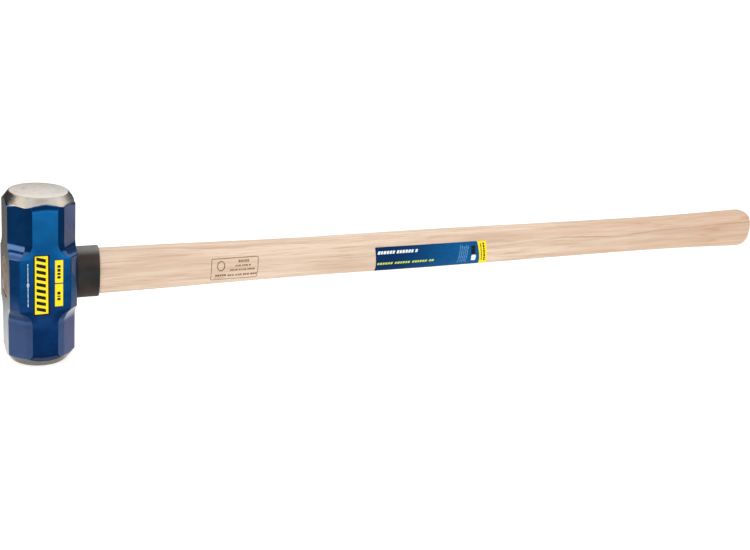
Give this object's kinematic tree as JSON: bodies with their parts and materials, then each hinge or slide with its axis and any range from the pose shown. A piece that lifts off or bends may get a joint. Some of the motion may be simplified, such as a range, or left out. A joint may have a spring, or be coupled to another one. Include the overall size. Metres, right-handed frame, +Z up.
{
  "type": "sledgehammer",
  "caption": "Long-handled sledgehammer: a forged head with striking faces at both ends, an oval ash handle wedged through its eye, and a rubber sleeve on the neck.",
  "frame": {"origin": "centre of the lower striking face", "axes": "+Z up the head to the upper striking face, +X out of the eye along the handle, +Y away from the labelled side"},
  "size_m": [0.9, 0.0573, 0.155],
  "materials": {
    "head_paint": "gloss blue paint over forged steel, with bare ground steel on the striking faces, their cones and the eye side",
    "handle_ash": "pale straight-grained ash, sanded and thinly lacquered",
    "wedge_wood": "dry sawn hardwood",
    "wedge_steel": "plain mild steel, hammered flush",
    "sleeve_rubber": "matt black moulded rubber",
    "label_yellow": "yellow printed vinyl with black marks",
    "label_blue": "blue printed vinyl with a yellow end band"
  },
  "bodies": {
    "root": {"head": "head_paint", "handle": "handle_ash", "wooden_wedge": "wedge_wood", "steel_wedge_upper": "wedge_steel", "steel_wedge_lower": "wedge_steel", "neck_sleeve": "sleeve_rubber", "name_label": "label_yellow", "weight_label_upper": "label_yellow", "weight_label_lower": "label_yellow", "handle_label": "label_blue"}
  },
  "joints": []
}
